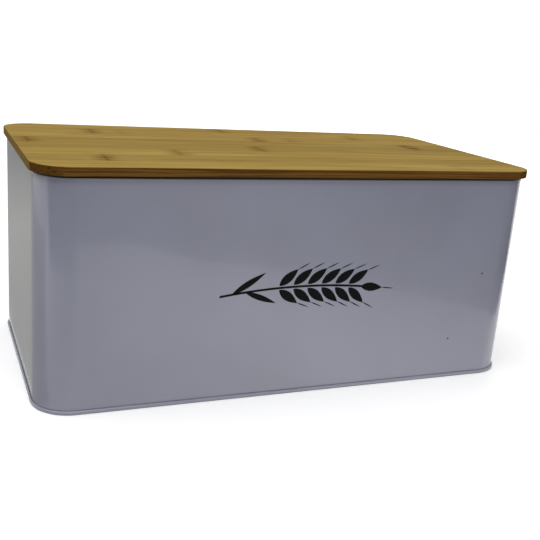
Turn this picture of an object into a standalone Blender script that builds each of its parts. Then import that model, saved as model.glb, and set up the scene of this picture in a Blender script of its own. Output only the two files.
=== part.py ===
"""Bread box: a painted sheet-steel box under a lift-off lid of laminated bamboo.

Metres, +Z up. The box stands on the ground plane with its length along X and
its front towards -Y. The origin is on the ground, at the middle of the outline.
"""

from math import acos, cos, pi, radians, sin

import bmesh
import bpy
from mathutils import Matrix

# Steel box, measured over the outside of its wall
BOX_LENGTH = 0.3400
BOX_DEPTH = 0.1830
BOX_HEIGHT = 0.1450
CORNER_RADIUS = 0.0232
LEAST_CORNER_RADIUS = 0.0020
CORNER_STEPS = 16
SHEET = 0.00045

# Rim of the wall, rolled inwards
ROLL_RADIUS = 0.0017
ROLL_PROUD = 0.0003
ROLL_END = radians(285)
ROLL_STEPS = 13

# Seam that folds the base panel's edge round the foot of the wall
SEAM_HEIGHT = 0.0027
SEAM_PROUD = 0.0012
SEAM_CLEARANCE = 0.0003
SEAM_STEPS = 4

# Base panel, held up off the ground by the seam
PANEL_RECESS = 0.0030
PANEL_BEND = 0.0006
BEND_STEPS = 3
STIFFENING_INSET = 0.0160
STIFFENING_SLOPE = 0.0030
STIFFENING_STEP = 0.0010

# Lock seam that closes the wall at the middle of the back
LOCK_SEAM_WIDTH = 0.0055
LOCK_SEAM_PROUD = 0.0009
LOCK_SEAM_BEVEL = 0.0004
LOCK_SEAM_END_GAP = 0.0010

# Lid: an upper layer of strips over the rim, and a lower one that drops inside it
LID_OVERHANG = 0.0020
LID_CORNER_RADIUS = 0.0220
LID_THICKNESS = 0.0053
LID_ARRIS = 0.0004
LID_STRIPS = 8
PLUG_THICKNESS = 0.0045
PLUG_CLEARANCE = 0.0010
PLUG_ARRIS = 0.0005
ARRIS_STEPS = 3
ARRIS_ANGLE = radians(45)
GLUE_LINE = 0.00005
REST_GAP = 0.0003

# How far a cutting block reaches past what it cuts
OVERRUN = 0.0050

# Finishes: linear colour, roughness and metallic value
PAINT_COLOUR = (0.27, 0.27, 0.33)
PAINT_ROUGHNESS = 0.18
BAMBOO_COLOUR = (0.36, 0.23, 0.08)
BAMBOO_ROUGHNESS = 0.45
LID_TONE_SHARES = (1.08, 0.88, 1.04, 0.92, 0.90, 1.00, 0.98, 0.96)

# Sizes worked out from those above
LID_LENGTH = BOX_LENGTH + 2 * LID_OVERHANG
LID_DEPTH = BOX_DEPTH + 2 * LID_OVERHANG
STRIP_PITCH = LID_DEPTH / LID_STRIPS
ROLL_REACH = 2 * ROLL_RADIUS - ROLL_PROUD
PLUG_INSET = ROLL_REACH + PLUG_CLEARANCE
PLUG_LENGTH = BOX_LENGTH - 2 * PLUG_INSET
PLUG_DEPTH = BOX_DEPTH - 2 * PLUG_INSET
PLUG_CORNER_RADIUS = max(CORNER_RADIUS - PLUG_INSET, LEAST_CORNER_RADIUS)
LID_UNDERSIDE = BOX_HEIGHT + REST_GAP


def clear_scene():
    """Remove the objects of the scene that the script is run in."""
    for old in list(bpy.data.objects):
        bpy.data.objects.remove(old, do_unlink=True)


def new_collection(name):
    """A collection of the scene, for the parts or for the cutting blocks."""
    collection = bpy.data.collections.new(name)
    bpy.context.scene.collection.children.link(collection)
    return collection


def new_empty(name, height, collection):
    """An empty on the vertical axis of the box, which carries a group of parts."""
    empty = bpy.data.objects.new(name, None)
    empty.location = (0, 0, height)
    collection.objects.link(empty)
    return empty


def new_object(name, mesh, height, parent, collection):
    """An object on the vertical axis, its height counted from the ground."""
    placed = bpy.data.objects.new(name, mesh)
    placed.parent = parent
    placed.location = (0, 0, height - parent.location.z)
    collection.objects.link(placed)
    return placed


def finish(name, colour, roughness, metallic=0):
    """A Principled material."""
    material = bpy.data.materials.new(name)
    material.use_nodes = True
    shader = material.node_tree.nodes["Principled BSDF"]
    shader.inputs["Base Color"].default_value = (*colour, 1)
    shader.inputs["Roughness"].default_value = roughness
    shader.inputs["Metallic"].default_value = metallic
    return material


def arc(centre_offset, centre_height, radius, start, end, steps):
    """Points of an arc in the section plane, from angle start to angle end."""
    points = []
    for step in range(steps + 1):
        angle = start + (end - start) * step / steps
        points.append((centre_offset + radius * cos(angle), centre_height + radius * sin(angle)))
    return points


def outline(offset):
    """The box's rounded outline, moved outwards by offset, anticlockwise from above."""
    radius = max(CORNER_RADIUS + offset, LEAST_CORNER_RADIUS)
    centre_x = BOX_LENGTH / 2 + offset - radius
    centre_y = BOX_DEPTH / 2 + offset - radius
    points = []
    for quarter, (side_x, side_y) in enumerate(((1, -1), (1, 1), (-1, 1), (-1, -1))):
        start = (quarter - 1) * pi / 2
        for x, y in arc(0, 0, radius, start, start + pi / 2, CORNER_STEPS):
            points.append((side_x * centre_x + x, side_y * centre_y + y))
    return points


def pressed_sheet(name, section, fill_middle):
    """Carry a section of (offset, height) points round the outline.

    The surface is the outer side of the sheet. With fill_middle, the first ring
    is closed by a flat face.
    """
    shape = bmesh.new()
    rings = []
    for offset, height in section:
        rings.append([shape.verts.new((x, y, height)) for x, y in outline(offset)])
    for lower, upper in zip(rings, rings[1:]):
        for here in range(len(lower)):
            ahead = (here + 1) % len(lower)
            shape.faces.new((lower[here], lower[ahead], upper[ahead], upper[here]))
    if fill_middle:
        shape.faces.new(reversed(rings[0]))
    return mesh_from(shape, name)


def block(name, length, depth, height, weigh_corners=False):
    """A box that stands on its own origin.

    With weigh_corners, its upright edges carry the weight that a Bevel reads.
    """
    shape = bmesh.new()
    size = Matrix.Diagonal((length, depth, height, 1))
    bmesh.ops.create_cube(shape, size=1, matrix=Matrix.Translation((0, 0, height / 2)) @ size)
    if weigh_corners:
        weight = shape.edges.layers.float.new("bevel_weight_edge")
        for edge in shape.edges:
            if edge.verts[0].co.z != edge.verts[1].co.z:
                edge[weight] = 1
    return mesh_from(shape, name)


def mesh_from(shape, name):
    """Turn a finished bmesh into a mesh."""
    mesh = bpy.data.meshes.new(name)
    shape.to_mesh(mesh)
    shape.free()
    return mesh


def thicken(part):
    """Give a pressed sheet its thickness, on the inner side of its surface."""
    solidify = part.modifiers.new("sheet", "SOLIDIFY")
    solidify.thickness = SHEET
    solidify.offset = -1
    solidify.use_even_offset = True


def round_edges(part, label, width, steps, by_weight=False):
    """Round the sharp edges, or only those that carry a weight."""
    bevel = part.modifiers.new(label, "BEVEL")
    bevel.width = width
    bevel.segments = steps
    bevel.limit_method = "WEIGHT" if by_weight else "ANGLE"
    bevel.angle_limit = ARRIS_ANGLE


def combine(part, other, operation):
    """Join another solid to a part, or keep only what the two share."""
    boolean = part.modifiers.new(operation.lower(), "BOOLEAN")
    boolean.operation = operation
    boolean.solver = "EXACT"
    boolean.object = other


def hide_tool(tool):
    """Show a cutting block as wires and keep it out of renders."""
    tool.hide_render = True
    tool.display_type = "WIRE"


def smooth(mesh):
    """Shade a mesh smooth, apart from its sharp edges."""
    mesh.shade_smooth()
    mesh.set_sharp_from_angle(angle=ARRIS_ANGLE)


def wall_section():
    """Outer side of the wall, from its foot inside the seam to the end of the roll."""
    foot = (0, SHEET + SEAM_CLEARANCE)
    start = -acos((ROLL_RADIUS - ROLL_PROUD) / ROLL_RADIUS)
    roll_centre = ROLL_PROUD - ROLL_RADIUS
    roll = arc(roll_centre, BOX_HEIGHT - ROLL_RADIUS, ROLL_RADIUS, start, ROLL_END, ROLL_STEPS)
    return [foot] + roll


def base_section():
    """Underside of the base panel, from its middle out to the lip of the seam."""
    inner_side = -(SHEET + SEAM_CLEARANCE + SHEET)
    seam_round = SEAM_PROUD - SEAM_CLEARANCE
    middle = (-STIFFENING_INSET - STIFFENING_SLOPE, PANEL_RECESS + STIFFENING_STEP)
    step_foot = (-STIFFENING_INSET, PANEL_RECESS)
    shoulder = arc(
        inner_side - PANEL_BEND, PANEL_RECESS - PANEL_BEND, PANEL_BEND, pi / 2, 0, BEND_STEPS
    )
    toe = arc(inner_side + PANEL_BEND, PANEL_BEND, PANEL_BEND, pi, pi * 3 / 2, BEND_STEPS)
    heel = arc(SEAM_CLEARANCE, seam_round, seam_round, -pi / 2, 0, SEAM_STEPS)
    lip = arc(SEAM_CLEARANCE, SEAM_HEIGHT - seam_round, seam_round, 0, pi / 2, SEAM_STEPS)
    return [middle, step_foot] + shoulder + toe + heel + lip


def make_lock_seam(box, cutters):
    """The folded bar down the middle of the back, from the seam to the rolled rim."""
    foot = SEAM_HEIGHT + LOCK_SEAM_END_GAP
    top = BOX_HEIGHT - 2 * ROLL_RADIUS - LOCK_SEAM_END_GAP
    depth = LOCK_SEAM_PROUD + SHEET / 2
    seam = new_object(
        "lock_seam_bar", block("lock_seam_bar", LOCK_SEAM_WIDTH, depth, top - foot), foot, box, cutters
    )
    seam.location.y = BOX_DEPTH / 2 - SHEET / 2 + depth / 2
    round_edges(seam, "folds", LOCK_SEAM_BEVEL, ARRIS_STEPS)
    hide_tool(seam)
    return seam


def make_wall(box, parts, cutters, paint):
    """The wall: one strip of sheet bent round the outline, rolled in at the top."""
    mesh = pressed_sheet("wall_shell", wall_section(), fill_middle=False)
    mesh.materials.append(paint)
    smooth(mesh)
    wall = new_object("wall_shell", mesh, 0, box, parts)
    thicken(wall)
    combine(wall, make_lock_seam(box, cutters), "UNION")
    return wall


def make_base(box, parts, paint):
    """The base panel: a shallow tray whose edge folds up round the foot of the wall."""
    mesh = pressed_sheet("base_panel", base_section(), fill_middle=True)
    mesh.materials.append(paint)
    smooth(mesh)
    base = new_object("base_panel", mesh, 0, box, parts)
    thicken(base)
    return base


def make_strip(name, board, span, layer, lid, parts, cutters, material):
    """One bamboo strip: the slice of a layer's board between two glue lines.

    board is (length, depth, corner radius, arris), span the strip's front and
    back edges, and layer the heights of the layer's underside and top.
    """
    length, depth, radius, arris = board
    front, back = span
    underside, top = layer
    mesh = block(name, length, depth, top - underside, weigh_corners=True)
    mesh.materials.append(material)
    smooth(mesh)
    strip = new_object(name, mesh, underside, lid, parts)
    round_edges(strip, "corners", radius, CORNER_STEPS, by_weight=True)
    round_edges(strip, "arris", arris, ARRIS_STEPS)

    height = top - underside + 2 * OVERRUN
    slice_mesh = block(name + "_slice", length + 2 * OVERRUN, back - front, height)
    cutter = new_object(name + "_slice", slice_mesh, underside - OVERRUN, lid, cutters)
    cutter.location.y = (front + back) / 2
    hide_tool(cutter)
    combine(strip, cutter, "INTERSECT")
    return strip


def strip_spans(depth, first_joint):
    """Front and back edge of each strip, with glue lines one pitch apart."""
    joints = []
    joint = first_joint
    while joint < depth / 2 - GLUE_LINE:
        joints.append(joint)
        joint += STRIP_PITCH
    fronts = [-depth / 2 - OVERRUN] + [joint + GLUE_LINE / 2 for joint in joints]
    backs = [joint - GLUE_LINE / 2 for joint in joints] + [depth / 2 + OVERRUN]
    return list(zip(fronts, backs))


def make_lid(lid, parts, cutters):
    """The lid: strips side by side on top, and a milled lower layer with staggered joints."""
    board = (LID_LENGTH, LID_DEPTH, LID_CORNER_RADIUS, LID_ARRIS)
    layer = (LID_UNDERSIDE, LID_UNDERSIDE + LID_THICKNESS)
    spans = strip_spans(LID_DEPTH, -LID_DEPTH / 2 + STRIP_PITCH)
    for number, span in enumerate(spans, start=1):
        name = f"lid_strip_{number}"
        share = LID_TONE_SHARES[(number - 1) % len(LID_TONE_SHARES)]
        material = finish(name, [share * level for level in BAMBOO_COLOUR], BAMBOO_ROUGHNESS)
        make_strip(name, board, span, layer, lid, parts, cutters, material)

    plug = (PLUG_LENGTH, PLUG_DEPTH, PLUG_CORNER_RADIUS, PLUG_ARRIS)
    layer = (LID_UNDERSIDE - GLUE_LINE - PLUG_THICKNESS, LID_UNDERSIDE - GLUE_LINE)
    first_joint = STRIP_PITCH / 2
    while first_joint - STRIP_PITCH > -PLUG_DEPTH / 2:
        first_joint -= STRIP_PITCH
    spans = strip_spans(PLUG_DEPTH, first_joint)
    for number, span in enumerate(spans, start=1):
        name = f"plug_strip_{number}"
        material = finish(name, BAMBOO_COLOUR, BAMBOO_ROUGHNESS)
        make_strip(name, plug, span, layer, lid, parts, cutters, material)


def main():
    """Build the box and its lid."""
    clear_scene()
    parts = new_collection("bread_box")
    cutters = new_collection("cutting_blocks")
    box = new_empty("box", 0, parts)
    lid = new_empty("lid", LID_UNDERSIDE, parts)
    paint = finish("painted_steel", PAINT_COLOUR, PAINT_ROUGHNESS)
    make_wall(box, parts, cutters, paint)
    make_base(box, parts, paint)
    make_lid(lid, parts, cutters)


main()
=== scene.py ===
"""Looks of the bread box: enamelled steel, laminated bamboo and a printed wheat motif.

Metres, in the frame of the CAD model: +Z up, the long front towards -Y.
"""

from math import atan2, cos, pi, radians, sin

import bmesh
import bpy
from mathutils import Matrix, Vector


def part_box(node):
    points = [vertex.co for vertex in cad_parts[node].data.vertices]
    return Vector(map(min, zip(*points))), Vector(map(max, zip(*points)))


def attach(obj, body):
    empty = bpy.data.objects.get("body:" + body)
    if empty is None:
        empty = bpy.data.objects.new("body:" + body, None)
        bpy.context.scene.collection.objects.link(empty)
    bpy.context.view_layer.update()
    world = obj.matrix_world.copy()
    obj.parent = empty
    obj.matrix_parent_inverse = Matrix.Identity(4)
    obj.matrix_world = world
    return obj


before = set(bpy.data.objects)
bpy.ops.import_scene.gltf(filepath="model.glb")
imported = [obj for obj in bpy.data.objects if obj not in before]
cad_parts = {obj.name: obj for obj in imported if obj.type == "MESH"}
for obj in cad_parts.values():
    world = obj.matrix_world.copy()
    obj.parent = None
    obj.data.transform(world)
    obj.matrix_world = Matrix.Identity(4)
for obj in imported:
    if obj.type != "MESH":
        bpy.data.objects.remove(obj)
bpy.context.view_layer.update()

# Camera of the photograph: where it looks, and from where
CAMERA_TARGET = Vector((-0.00754, -0.04635, 0.07206))
CAMERA_DISTANCE = 0.56531
CAMERA_AZIMUTH = radians(-23.75)
CAMERA_ELEVATION = radians(16.15)
CAMERA_ROLL = radians(4.63)
CAMERA_LENS = 54.45
CAMERA_SENSOR = 36
CAMERA_CLIP = (0.01, 50)

# Linear colours
ENAMEL = (0.288, 0.295, 0.371)
ENAMEL_SHADE = (0.272, 0.278, 0.348)
# Painted shade in the groove over the seam, laid on in patches
GROOVE_SHADE = (0.080, 0.080, 0.098)
# Painted shade on the top of the rolled rim and on the enamel just under the lid
PAINTED_RIM_SHADE = (0.018, 0.018, 0.021)
FLECK = (0.030, 0.028, 0.032)
INK = (0.0035, 0.0040, 0.0037)
INK_WORN = (0.0062, 0.0068, 0.0064)
BAMBOO = (0.312, 0.213, 0.054)
BAMBOO_STREAK = (0.201, 0.119, 0.025)
BAMBOO_PALE = (0.378, 0.271, 0.079)
BAMBOO_KNOT = (0.120, 0.049, 0.006)
BAMBOO_SIDE = (0.178, 0.087, 0.020)
BAMBOO_SIDE_DARK = (0.088, 0.040, 0.010)
# End grain: paler on the flat ends by painted light, darker on the rounded corners by painted
# shade
BAMBOO_END_GRAIN_AND_LIGHT = (0.223, 0.139, 0.037)
BAMBOO_CORNER_GRAIN_AND_SHADE = (0.098, 0.049, 0.010)
BAMBOO_PORE = (0.026, 0.010, 0.003)
FLOOR = (0.50, 0.50, 0.50)
FLOOR_SEEN = (0.86, 0.86, 0.86)

# Tone of each upper strip, from front to back, and where its knots cross it, in metres from
# the middle of the box, with the strength of each
STRIP_TONES = (1.07, 0.91, 1.05, 0.90, 0.89, 1.03, 1.00, 0.99)
STRIP_KNOTS = (
    ((0.1130, 0.20),),
    ((-0.1258, 0.85),),
    ((-0.0745, 0.62),),
    ((-0.0080, 0.72),),
    ((-0.1630, 0.80), (0.1300, 1.00)),
    ((0.0093, 0.66), (0.0355, 0.32)),
    ((-0.1120, 0.72), (0.1018, 0.60), (-0.0905, 0.22)),
    ((-0.0058, 0.65),),
)
PLUG_TONES = (0.98, 1.02, 0.94, 1.05, 0.97, 0.92, 1.03, 0.96, 1.00)
PLUG_KNOT_STRENGTH = 0.7
KNOT_SPACING = 0.213
KNOT_STAGGER = 0.083

# Bamboo grain: turns per metre of each noise along the fibres, across the strip and through it,
# and how far the grain shifts from one strip to the next
DRIFT_GRAIN = (9, 60, 60)
BAND_GRAIN = (7, 260, 260)
STREAK_GRAIN = (14, 900, 900)
FIBRE_GRAIN = (70, 4200, 4200)
WOBBLE_GRAIN = (25, 230, 230)
PATCH_GRAIN = (45, 420, 420)
STAIN_GRAIN = (22, 8, 8)
PLY_GRAIN = (14, 300, 1350)
PORE_GRAIN = (200, 760, 760)
GRAIN_SHIFT = (0.731, 0.377, 0.193)

# How the noises tint the bamboo: from a low value to a high one, and from one share to another
DRIFT_TINT = (0.45, 0.75, 0, 0.55)
BAND_TINT = (0.46, 0.66, 0, 0.60)
STREAK_TINT = (0.42, 0.72, 0, 0.60)
FIBRE_TINT = (0.52, 0.70, 0, 0.40)
PLY_TINT = (0.42, 0.62)
PORE_TINT = (0.16, 0.40, 0.80, 0)
BAMBOO_ROUGHNESS = (0.3, 0.7, 0.46, 0.60)
BAMBOO_RELIEF = 0.00004
RELIEF_STRENGTH = 0.6
FIBRE_RELIEF = 0.6

# Knots: how far they wander along the strip, how patchy they are, and how the streaky halo and
# the thin core fade out, with the share of each
KNOT_WOBBLE = (0.0130, -0.0065)
CORE_WOBBLE = 0.25
KNOT_PATCHES = (0.36, 0.62, 0.20, 1)
HALO_REACH = (0.0010, 0.0115)
HALO_SHARE = 0.82
CORE_REACH = (0.0002, 0.0021)
CORE_SHARE = 0.36

# Glue lines: how they fade out into the strip, and how patchy the stain is along them
GLUE_FADE = (0.00005, 0.00070, 1, 0)
GLUE_PATCHES = (0.42, 0.62, 0.25, 0.85)

# How far a face has turned: towards the end of the strip where it shows end grain, further where
# it takes the paler colour of a flat end, painted light there and painted shade on the rounded
# corners, and upwards where it shows the grain of the top
END_TURN = (0.15, 0.45)
FLAT_END_TURN = (0.965, 0.995)
TOP_TURN = (0.55, 0.92)

# Steel box: its flat front, the seam round its foot, and its rim
RIM_PROUD = 0.0003
FRONT_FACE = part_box("wall_shell")[0].y + RIM_PROUD
FRONT_DEPTH = 0.002
SEAM_TOP = 0.0027
RIM_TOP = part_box("wall_shell")[1].z

# Enamel: its cloudiness, painted shade in patches along the groove over the seam, and painted
# shade on the rim and under the lid
CLOUD_SCALE = 14
CLOUD_TINT = (0.35, 0.65)
GROOVE_SHADE_FADE = (0.0001, 0.0006, 0.38, 0)
GROOVE_SHADE_SCALE = 90
GROOVE_SHADE_PATCHES = (0.25, 0.6, 0.5, 1)
RIM_TOP_SHADE_FADE = (RIM_TOP - 0.0020, RIM_TOP - 0.0010, 0, 0.95)
UNDER_LID_SHADE_FADE = (RIM_TOP - 0.0060, RIM_TOP - 0.0012, 0, 0.22)

# Enamel: its orange-peel skin, its waves and its gloss
PEEL_SCALE = 650
PEEL_RELIEF = 0.000003
WAVE_SCALE = 11
WAVE_RELIEF = 0.0005
GLOSS_SCALE = 22
ENAMEL_ROUGHNESS = (0.3, 0.7, 0.19, 0.205)

# Dark flecks in the enamel of the front: along the length and above the ground
FLECKS = ((0.1367, 0.0773), (0.1155, 0.0296), (-0.1590, 0.0478))
FLECK_RADIUS = 0.00055
FLECK_EDGE = 1.7
FLECK_SHARE = 0.9

# Ink: its grain
INK_SCALE = 900
INK_TINT = (0.3, 0.7)
INK_ROUGHNESS = (0.3, 0.7, 0.34, 0.45)
INK_RELIEF = 0.000008

# CAD meshes: points closer than this are one, and edges sharper than this keep a crease
WELD_REACH = 0.000001
SHARP_ANGLE = radians(40)
FACE_WEIGHT = 100

# Printed motif: an ear of wheat that lies along the middle of the front
MOTIF_HEIGHT = 0.0700
MOTIF_HALF_LENGTH = 0.0600
MOTIF_BOW = 0.0045
STALK_WIDTH = 0.0015
STALK_POINTS = 24
GRAIN_PAIRS = 6
GRAIN_PITCH = 0.0100
FIRST_GRAIN = -0.0200
GRAIN_LENGTH = 0.0165
GRAIN_WIDTH = 0.0060
GRAIN_LEAN = radians(38)
GRAIN_SPREAD = 1.8
AWN_START = 0.97
AWN_LENGTH = 0.0100
AWN_WIDTH = 0.0008
AWN_LEAN = radians(24)
BLADES = ((-0.0520, 0.0260, 0.0042, radians(24)), (-0.0430, 0.0230, 0.0038, radians(-27)))
LEAF_STEPS = 14
LEAF_BULGE = 0.85
LEAF_ROUNDNESS = 0.9
INK_THICKNESS = 0.00003

# Stage: a floor, and cards on it that only reflections see. The bright and the dark card meet
# along an edge in front of the box. A card glows by the sum of its levels: each is an axis, and
# two pairs of place and level
FLOOR_REACH = 6.0
FLOOR_ROUGHNESS = 0.9
FLOOR_GLOW = ((0.6, 0.28), (2.4, 0.62))
CARD_HEIGHT = 0.001
CARD_COLOUR = (0.02, 0.02, 0.02)
CARD_EDGE = (
    (-0.453, -0.186), (-0.400, -0.280), (-0.320, -0.351), (-0.225, -0.430),
    (-0.099, -0.468), (-0.019, -0.477), (0.033, -0.400), (0.102, -0.367),
    (0.177, -0.292), (0.218, -0.249), (0.247, -0.208), (0.300, -0.092),
)
BRIGHT_CARD_LEVELS = (
    ("X", (-0.45, 0.72), (-0.19, 0.40)),
    ("X", (-0.19, 0), (0.04, 1.10)),
    ("X", (0.04, 0), (0.20, -0.60)),
    ("Y", (-0.40, 0), (-0.09, 0.50)),
)
DARK_CARD_FAR = ((0.50, 0.02), (3.00, 0.02), (3.00, -3.00), (-3.00, -3.00), (-3.00, -0.186))
DARK_CARD_LEVELS = (("X", (-0.06, 0), (0.12, 0.45)), ("X", (0.26, 0), (0.48, -0.45)))
LEFT_CARD = ((-0.600, -0.092), (-0.172, -0.092), (-0.172, 1.200), (-0.600, 1.200))
LEFT_CARD_COLOUR = (1.0, 1.0, 0.90)
LEFT_CARD_LEVELS = (("Y", (0.12, 0.405), (0.38, 0.465)), ("Y", (0.38, 0), (0.85, -0.19)))
BACK_CARD = ((-0.165, 0.095), (0.600, 0.095), (0.600, 0.500), (-0.165, 0.500))
BACK_CARD_LEVELS = (("Y", (0.10, 1.30), (0.45, 0.50)),)
WORLD_LEVEL = 0.45

# Softboxes: place, point aimed at, side and power
TOP_SOFTBOX = ((-0.5, -0.1, 1.55), (0, 0, 0.1), 1.2, 12.2)
FRONT_SOFTBOX = ((-0.15, -1.3, 1.3), (0, 0, 0.08), 0.9, 7.0)
BACK_SOFTBOX = ((1.1, 1.3, 0.7), (0, 0, 0.08), 0.9, 11)


class Graph:
    """A procedural material, built node by node."""

    def __init__(self, name):
        self.material = bpy.data.materials.new(name)
        self.material.use_nodes = True
        self.tree = self.material.node_tree
        self.shader = self.tree.nodes["Principled BSDF"]
        self.place = self.node("ShaderNodeTexCoord").outputs["Object"]
        self.xyz = self.split(self.place)

    def node(self, kind, **settings):
        made = self.tree.nodes.new(kind)
        for key, value in settings.items():
            setattr(made, key, value)
        return made

    def feed(self, socket, value):
        if isinstance(value, bpy.types.NodeSocket):
            self.tree.links.new(value, socket)
        elif value is not None:
            socket.default_value = value

    def set(self, **values):
        """Set sockets of the shader, named with underscores for spaces."""
        for key, value in values.items():
            self.feed(self.shader.inputs[key.replace("_", " ")], value)

    def split(self, vector):
        made = self.node("ShaderNodeSeparateXYZ")
        self.feed(made.inputs[0], vector)
        return made.outputs

    def math(self, operation, first, second=None, third=None, clamp=False):
        made = self.node("ShaderNodeMath", operation=operation, use_clamp=clamp)
        for socket, value in zip(made.inputs, (first, second, third)):
            self.feed(socket, value)
        return made.outputs[0]

    def stretch(self, scale, shift=(0, 0, 0)):
        """Object coordinates, shifted and then scaled along each axis, in turns per metre."""
        made = self.node("ShaderNodeMapping")
        self.feed(made.inputs["Vector"], self.place)
        made.inputs["Location"].default_value = shift
        made.inputs["Scale"].default_value = scale
        return made.outputs[0]

    def noise(self, vector, scale=1, detail=2, roughness=0.5):
        made = self.node("ShaderNodeTexNoise")
        self.feed(made.inputs["Vector"], vector)
        made.inputs["Scale"].default_value = scale
        made.inputs["Detail"].default_value = detail
        made.inputs["Roughness"].default_value = roughness
        return made.outputs["Fac"]

    def cells(self, vector):
        made = self.node("ShaderNodeTexVoronoi")
        self.feed(made.inputs["Vector"], vector)
        made.inputs["Scale"].default_value = 1
        return made.outputs["Distance"]

    def fade(self, value, low, high, to_low=0, to_high=1):
        """Smooth change from to_low below low to to_high above high."""
        made = self.node("ShaderNodeMapRange", interpolation_type="SMOOTHSTEP")
        for socket, number in zip(made.inputs, (value, low, high, to_low, to_high)):
            self.feed(socket, number)
        return made.outputs[0]

    def mix(self, share, first, second, blend="MIX"):
        """Mix two colours."""
        made = self.node("ShaderNodeMix", data_type="RGBA", blend_type=blend)
        self.feed(made.inputs["Factor"], share)
        for socket, colour in zip((made.inputs["A"], made.inputs["B"]), (first, second)):
            self.feed(socket, (*colour, 1) if isinstance(colour, tuple) else colour)
        return made.outputs["Result"]

    def bump(self, height, distance, strength=1.0, normal=None):
        made = self.node("ShaderNodeBump")
        made.inputs["Strength"].default_value = strength
        made.inputs["Distance"].default_value = distance
        self.feed(made.inputs["Height"], height)
        self.feed(made.inputs["Normal"], normal)
        return made.outputs[0]


def enamel():
    """Glossy lilac-grey enamel: slightly wavy, with an orange-peel skin and a few flecks."""
    g = Graph("enamel")
    cloud = g.noise(g.place, scale=CLOUD_SCALE, detail=3)
    colour = g.mix(g.fade(cloud, *CLOUD_TINT), ENAMEL_SHADE, ENAMEL)

    # Painted shade: the groove over the seam is darkened, in patches
    above_seam = g.math("SUBTRACT", g.xyz["Z"], SEAM_TOP)
    groove = g.fade(g.math("ABSOLUTE", above_seam), *GROOVE_SHADE_FADE)
    patches = g.fade(g.noise(g.place, scale=GROOVE_SHADE_SCALE, detail=4), *GROOVE_SHADE_PATCHES)
    colour = g.mix(g.math("MULTIPLY", groove, patches), colour, GROOVE_SHADE)

    # Painted shade: the top of the rolled rim, in the gap under the lid, is darkened, and the
    # enamel just below it a little
    rim = g.fade(g.xyz["Z"], *RIM_TOP_SHADE_FADE)
    below = g.fade(g.xyz["Z"], *UNDER_LID_SHADE_FADE)
    colour = g.mix(g.math("MAXIMUM", rim, below), colour, PAINTED_RIM_SHADE)

    on_front = g.math("LESS_THAN", g.xyz["Y"], FRONT_FACE + FRONT_DEPTH)
    for fleck in FLECKS:
        away = [g.math("SUBTRACT", g.xyz[axis], centre) for axis, centre in zip("XZ", fleck)]
        squares = [g.math("MULTIPLY", offset, offset) for offset in away]
        reach = g.math("SQRT", g.math("ADD", *squares))
        spot = g.fade(reach, FLECK_RADIUS, FLECK_RADIUS * FLECK_EDGE, FLECK_SHARE, 0)
        colour = g.mix(g.math("MULTIPLY", spot, on_front), colour, FLECK)

    peel = g.noise(g.place, scale=PEEL_SCALE, detail=1)
    waves = g.noise(g.place, scale=WAVE_SCALE, detail=1)
    gloss = g.noise(g.place, scale=GLOSS_SCALE, detail=1)
    normal = g.bump(peel, PEEL_RELIEF, normal=g.bump(waves, WAVE_RELIEF))
    g.set(Base_Color=colour, Normal=normal, IOR=1.5, Coat_Weight=0.35, Coat_Roughness=0.05)
    g.set(Roughness=g.fade(gloss, *ENAMEL_ROUGHNESS))
    return g.material


def knot_mask(g, knots, wobble, patchy):
    """How strongly a point is darkened by the knots of a strip.

    Each knot is a thin line across the strip, in a halo streaked along the fibres.
    """
    mask = 0
    for along, strength in knots:
        away = g.math("SUBTRACT", g.xyz["X"], along)
        frayed = g.math("ABSOLUTE", g.math("ADD", away, wobble))
        line = g.math("ABSOLUTE", g.math("MULTIPLY_ADD", wobble, CORE_WOBBLE, away))
        halo = g.math("MULTIPLY", g.fade(frayed, *HALO_REACH, HALO_SHARE * strength, 0), patchy)
        core = g.fade(line, *CORE_REACH, CORE_SHARE * strength, 0)
        mask = g.math("ADD", mask, g.math("ADD", halo, core), clamp=True)
    return mask


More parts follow.
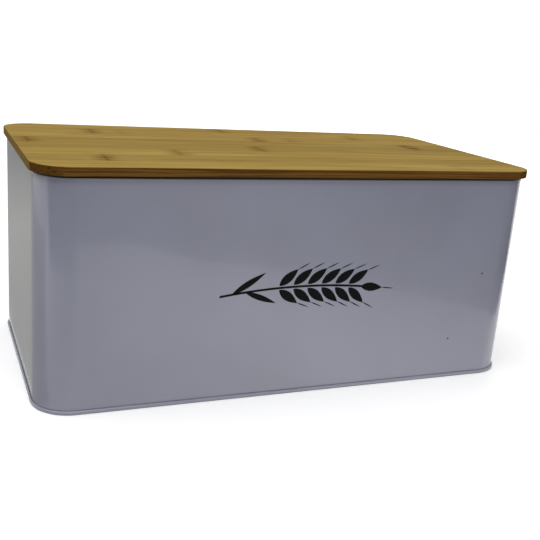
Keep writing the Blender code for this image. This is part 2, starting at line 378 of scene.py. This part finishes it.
def bamboo(name, tone, knots, span, seed):
    """One flat-pressed bamboo strip, its fibres along X and its sides at the Y values of span."""
    g = Graph(name)
    shift = tuple(seed * step for step in GRAIN_SHIFT)
    drift = g.noise(g.stretch(DRIFT_GRAIN, shift), detail=2)
    bands = g.noise(g.stretch(BAND_GRAIN, shift), detail=4, roughness=0.65)
    streaks = g.noise(g.stretch(STREAK_GRAIN, shift), detail=3, roughness=0.65)
    fibres = g.noise(g.stretch(FIBRE_GRAIN, shift), detail=2, roughness=0.6)

    top = g.mix(g.fade(streaks, *STREAK_TINT), BAMBOO, BAMBOO_STREAK)
    top = g.mix(g.fade(drift, *DRIFT_TINT), top, BAMBOO_PALE)
    top = g.mix(g.fade(bands, *BAND_TINT), top, BAMBOO_STREAK)
    top = g.mix(g.fade(fibres, *FIBRE_TINT), top, BAMBOO_STREAK)

    bends = g.noise(g.stretch(WOBBLE_GRAIN, shift), detail=2)
    wobble = g.math("MULTIPLY_ADD", bends, *KNOT_WOBBLE)
    patches = g.noise(g.stretch(PATCH_GRAIN, shift), detail=4, roughness=0.6)
    mask = knot_mask(g, knots, wobble, g.fade(patches, *KNOT_PATCHES))
    top = g.mix(mask, top, BAMBOO_KNOT)

    to_front = g.math("SUBTRACT", g.xyz["Y"], span[0])
    to_back = g.math("SUBTRACT", span[1], g.xyz["Y"])
    to_side = g.math("MINIMUM", to_front, to_back)
    stained = g.fade(g.noise(g.stretch(STAIN_GRAIN, shift), detail=3), *GLUE_PATCHES)
    joint = g.math("MULTIPLY", g.fade(to_side, *GLUE_FADE), stained)
    top = g.mix(joint, top, BAMBOO_STREAK)
    top = g.mix(1.0, top, (tone, tone, tone), blend="MULTIPLY")

    plies = g.noise(g.stretch(PLY_GRAIN, shift), detail=3, roughness=0.6)
    side = g.mix(g.fade(plies, *PLY_TINT), BAMBOO_SIDE, BAMBOO_SIDE_DARK)

    facing = g.split(g.node("ShaderNodeNewGeometry").outputs["Normal"])
    lengthwise = g.math("ABSOLUTE", facing["X"])
    upwards = g.math("ABSOLUTE", facing["Z"])
    # Painted light and shade: end grain is paler on the flat ends and darker where the corners of
    # the lid round off
    end = g.mix(g.fade(lengthwise, *FLAT_END_TURN), BAMBOO_CORNER_GRAIN_AND_SHADE, BAMBOO_END_GRAIN_AND_LIGHT)
    end = g.mix(g.fade(g.cells(g.stretch(PORE_GRAIN)), *PORE_TINT), end, BAMBOO_PORE)
    edge = g.mix(g.fade(lengthwise, *END_TURN), side, end)
    colour = g.mix(g.fade(upwards, *TOP_TURN), edge, top)

    relief = g.math("ADD", g.math("MULTIPLY", fibres, FIBRE_RELIEF), streaks)
    normal = g.bump(relief, BAMBOO_RELIEF, RELIEF_STRENGTH)
    g.set(Base_Color=colour, Normal=normal, IOR=1.45, Specular_IOR_Level=0.003)
    g.set(Roughness=g.fade(streaks, *BAMBOO_ROUGHNESS))
    return g.material


def ink():
    """Screen-printed black, a little duller than the enamel round it."""
    g = Graph("printed_ink")
    grain = g.noise(g.place, scale=INK_SCALE, detail=2)
    colour = g.mix(g.fade(grain, *INK_TINT), INK, INK_WORN)
    g.set(Base_Color=colour, Normal=g.bump(grain, INK_RELIEF), Specular_IOR_Level=0.04)
    g.set(Roughness=g.fade(grain, *INK_ROUGHNESS))
    return g.material


def smooth_node(piece):
    """Smooth a CAD node but at its sharp edges, weighted by area so that its flats stay flat."""
    mesh = piece.data
    mesh.shade_smooth()
    if "custom_normal" in mesh.attributes:
        mesh.attributes.remove(mesh.attributes["custom_normal"])
    weld = piece.modifiers.new("weld", "WELD")
    weld.merge_threshold = WELD_REACH
    split = piece.modifiers.new("split", "EDGE_SPLIT")
    split.split_angle = SHARP_ANGLE
    split.use_edge_sharp = False
    weighted = piece.modifiers.new("weighted_normals", "WEIGHTED_NORMAL")
    weighted.mode = "FACE_AREA"
    weighted.weight = FACE_WEIGHT
    weighted.keep_sharp = True


def dress(node, material):
    """Give a CAD node its finish."""
    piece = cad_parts[node]
    piece.data.materials.clear()
    piece.data.materials.append(material)
    smooth_node(piece)


def dress_lid():
    """Each bamboo strip gets its own tone, grain and knots."""
    for number, (tone, knots) in enumerate(zip(STRIP_TONES, STRIP_KNOTS), start=1):
        name = f"lid_strip_{number}"
        low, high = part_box(name)
        dress(name, bamboo(name, tone, knots, (low.y, high.y), number))
    for number, tone in enumerate(PLUG_TONES, start=1):
        name = f"plug_strip_{number}"
        low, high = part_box(name)
        first = low.x + (number * KNOT_STAGGER) % KNOT_SPACING
        knots = tuple((first + turn * KNOT_SPACING, PLUG_KNOT_STRENGTH) for turn in range(2))
        dress(name, bamboo(name, tone, knots, (low.y, high.y), len(STRIP_TONES) + number))


def bowed(along):
    """Point of the stalk's centre line, in the plane of the front."""
    return Vector((along, MOTIF_BOW * (1 - (along / MOTIF_HALF_LENGTH) ** 2)))


def slope(along):
    """Angle of the stalk's centre line."""
    return atan2(-2 * MOTIF_BOW * along / MOTIF_HALF_LENGTH ** 2, 1)


def leaf(foot, lean, length, width):
    """Outline of a pointed leaf that grows from foot at an angle."""
    turn = Matrix.Rotation(lean, 2)
    points = []
    for side in (1, -1):
        for step in range(LEAF_STEPS):
            share = step / LEAF_STEPS if side == 1 else 1 - step / LEAF_STEPS
            half = width / 2 * sin(pi * share ** LEAF_BULGE) ** LEAF_ROUNDNESS
            points.append(foot + turn @ Vector((length * share, side * half)))
    return points


def ear_outlines():
    """Outlines of the ear: its stalk and blades, its grains in pairs, and an awn on each."""
    reach = FIRST_GRAIN + GRAIN_PAIRS * GRAIN_PITCH
    places = [-MOTIF_HALF_LENGTH + (reach + MOTIF_HALF_LENGTH) * step / STALK_POINTS
              for step in range(STALK_POINTS + 1)]
    half = Vector((0, STALK_WIDTH / 2))
    under = [bowed(along) - half for along in places]
    over = [bowed(along) + half for along in reversed(places)]
    shapes = [under + over]
    for along, length, width, lean in BLADES:
        shapes.append(leaf(bowed(along), slope(along) + lean, length, width))
    grains = [(bowed(reach) + half.orthogonal(), slope(reach), slope(reach))]
    for pair in range(GRAIN_PAIRS):
        along = FIRST_GRAIN + pair * GRAIN_PITCH
        for side in (1, -1):
            foot = bowed(along) + side * half * GRAIN_SPREAD
            grains.append((foot, slope(along) + side * GRAIN_LEAN, slope(along) + side * AWN_LEAN))
    for foot, lean, awn_lean in grains:
        shapes.append(leaf(foot, lean, GRAIN_LENGTH, GRAIN_WIDTH))
        tip = foot + Matrix.Rotation(lean, 2) @ Vector((GRAIN_LENGTH * AWN_START, 0))
        shapes.append(leaf(tip, awn_lean, AWN_LENGTH, AWN_WIDTH))
    return shapes


def make_motif(material):
    """The printed ink: flat shapes that lie on the enamel of the front."""
    shape = bmesh.new()
    for outline in ear_outlines():
        corners = []
        for along, up in outline:
            corners.append(shape.verts.new((along, FRONT_FACE - INK_THICKNESS, MOTIF_HEIGHT + up)))
        grown = bmesh.ops.extrude_face_region(shape, geom=[shape.faces.new(corners)])
        moved = [item for item in grown["geom"] if isinstance(item, bmesh.types.BMVert)]
        bmesh.ops.translate(shape, vec=(0, 2 * INK_THICKNESS, 0), verts=moved)
    bmesh.ops.recalc_face_normals(shape, faces=shape.faces)
    mesh = bpy.data.meshes.new("wheat_motif")
    shape.to_mesh(mesh)
    shape.free()
    mesh.materials.append(material)
    motif = bpy.data.objects.new("wheat_motif", mesh)
    bpy.context.scene.collection.objects.link(motif)
    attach(motif, "box")


def plane(name, corners):
    """A flat face of the stage, with a material of its own."""
    mesh = bpy.data.meshes.new(name)
    mesh.from_pydata(corners, [], [tuple(range(len(corners)))])
    made = bpy.data.objects.new(name, mesh)
    bpy.context.scene.collection.objects.link(made)
    material = bpy.data.materials.new(name)
    material.use_nodes = True
    mesh.materials.append(material)
    return made, material.node_tree


def ramp(tree, value, first, last):
    """A level that changes evenly with a value, between two pairs of value and level."""
    made = tree.nodes.new("ShaderNodeMapRange")
    tree.links.new(value, made.inputs["Value"])
    for name, number in zip(("From Min", "To Min", "From Max", "To Max"), (*first, *last)):
        made.inputs[name].default_value = number
    return made.outputs[0]


def seen(tree):
    """1 for a ray that looks, straight or by gloss or glass, and 0 for one that only lights."""
    path = tree.nodes.new("ShaderNodeLightPath")
    total = path.outputs["Is Camera Ray"]
    for ray in ("Is Glossy Ray", "Is Transmission Ray"):
        either = tree.nodes.new("ShaderNodeMath")
        either.operation = "MAXIMUM"
        tree.links.new(total, either.inputs[0])
        tree.links.new(path.outputs[ray], either.inputs[1])
        total = either.outputs[0]
    return total


def make_floor():
    """A floor that is white to the eye but for the shadow of the box."""
    reach = FLOOR_REACH
    corners = ((-reach, -reach, 0), (reach, -reach, 0), (reach, reach, 0), (-reach, reach, 0))
    tree = plane("floor", corners)[1]
    looked_at = seen(tree)
    tone = tree.nodes.new("ShaderNodeMix")
    tone.data_type = "RGBA"
    tone.inputs["A"].default_value = (*FLOOR, 1)
    tone.inputs["B"].default_value = (*FLOOR_SEEN, 1)
    tree.links.new(looked_at, tone.inputs["Factor"])
    shader = tree.nodes["Principled BSDF"]
    shader.inputs["Roughness"].default_value = FLOOR_ROUGHNESS
    shader.inputs["Specular IOR Level"].default_value = 0
    tree.links.new(tone.outputs["Result"], shader.inputs["Base Color"])

    place = tree.nodes.new("ShaderNodeTexCoord")
    away = tree.nodes.new("ShaderNodeVectorMath")
    away.operation = "LENGTH"
    tree.links.new(place.outputs["Object"], away.inputs[0])
    level = tree.nodes.new("ShaderNodeMath")
    level.operation = "MULTIPLY"
    tree.links.new(looked_at, level.inputs[0])
    tree.links.new(ramp(tree, away.outputs["Value"], *FLOOR_GLOW), level.inputs[1])
    glow = tree.nodes.new("ShaderNodeEmission")
    tree.links.new(level.outputs[0], glow.inputs["Strength"])

    both = tree.nodes.new("ShaderNodeAddShader")
    tree.links.new(shader.outputs[0], both.inputs[0])
    tree.links.new(glow.outputs[0], both.inputs[1])
    tree.links.new(both.outputs[0], tree.nodes["Material Output"].inputs["Surface"])


def make_card(name, corners):
    """A black card on the floor that only reflections see."""
    card, tree = plane(name, [(x, y, CARD_HEIGHT) for x, y in corners])
    shader = tree.nodes["Principled BSDF"]
    shader.inputs["Base Color"].default_value = (*CARD_COLOUR, 1)
    shader.inputs["Specular IOR Level"].default_value = 0
    card.visible_camera = False
    card.visible_diffuse = False
    card.visible_shadow = False
    card.visible_transmission = False
    return tree


def grade(tree, levels, colour=(1, 1, 1)):
    """Make a card glow by the sum of several ramps, each along an axis of the floor."""
    shader = tree.nodes["Principled BSDF"]
    shader.inputs["Emission Color"].default_value = (*colour, 1)
    place = tree.nodes.new("ShaderNodeTexCoord")
    along = tree.nodes.new("ShaderNodeSeparateXYZ")
    tree.links.new(place.outputs["Object"], along.inputs[0])
    total = shader.inputs["Emission Strength"]
    for axis, first, last in levels:
        part = tree.nodes.new("ShaderNodeMath")
        tree.links.new(ramp(tree, along.outputs[axis], first, last), part.inputs[0])
        part.inputs[1].default_value = 0
        tree.links.new(part.outputs[0], total)
        total = part.inputs[1]


def make_cards():
    """A dark card past the edge, a bright one before it, and one at the left and at the back."""
    grade(make_card("dark_card", (*CARD_EDGE, *DARK_CARD_FAR)), DARK_CARD_LEVELS)
    grade(make_card("left_card", LEFT_CARD), LEFT_CARD_LEVELS, LEFT_CARD_COLOUR)
    near_left = (CARD_EDGE[0][0], CARD_EDGE[-1][1])
    grade(make_card("bright_card", (near_left, *CARD_EDGE)), BRIGHT_CARD_LEVELS)
    grade(make_card("back_card", BACK_CARD), BACK_CARD_LEVELS)


def make_world():
    """A white surround: full white where it is seen, softer as a light."""
    world = bpy.data.worlds.new("surround")
    bpy.context.scene.world = world
    world.use_nodes = True
    tree = world.node_tree
    background = tree.nodes["Background"]
    background.inputs["Color"].default_value = (1, 1, 1, 1)
    level = tree.nodes.new("ShaderNodeMapRange")
    tree.links.new(seen(tree), level.inputs["Value"])
    level.inputs["To Min"].default_value = WORLD_LEVEL
    level.inputs["To Max"].default_value = 1.0
    tree.links.new(level.outputs[0], background.inputs["Strength"])


def make_light(name, place, aim, size, power):
    """A square softbox that looks at a point."""
    data = bpy.data.lights.new(name, "AREA")
    data.shape = "SQUARE"
    data.size = size
    data.energy = power
    lamp = bpy.data.objects.new(name, data)
    lamp.location = place
    lamp.rotation_euler = (Vector(aim) - Vector(place)).to_track_quat("-Z", "Y").to_euler()
    lamp.visible_camera = False
    bpy.context.scene.collection.objects.link(lamp)
    return lamp


def make_camera():
    """The photograph's viewpoint."""
    azimuth, elevation = CAMERA_AZIMUTH, CAMERA_ELEVATION
    back = Vector((sin(azimuth) * cos(elevation), -cos(azimuth) * cos(elevation), sin(elevation)))
    level = Vector((0, 0, 1)).cross(back).normalized()
    upright = back.cross(level)
    right = level * cos(CAMERA_ROLL) + upright * sin(CAMERA_ROLL)
    up = upright * cos(CAMERA_ROLL) - level * sin(CAMERA_ROLL)
    data = bpy.data.cameras.new("camera")
    data.lens = CAMERA_LENS
    data.sensor_width = CAMERA_SENSOR
    data.clip_start, data.clip_end = CAMERA_CLIP
    camera = bpy.data.objects.new("camera", data)
    turned = Matrix((right, up, back)).transposed().to_4x4()
    camera.matrix_world = Matrix.Translation(CAMERA_TARGET + back * CAMERA_DISTANCE) @ turned
    bpy.context.scene.collection.objects.link(camera)
    bpy.context.scene.camera = camera


make_camera()
steel = enamel()
dress("wall_shell", steel)
dress("base_panel", steel)
dress_lid()
make_motif(ink())
make_floor()
make_cards()
make_world()
make_light("top_softbox", *TOP_SOFTBOX)
make_light("front_softbox", *FRONT_SOFTBOX)
make_light("back_softbox", *BACK_SOFTBOX).visible_glossy = False

bpy.context.scene.view_settings.view_transform = "Standard"
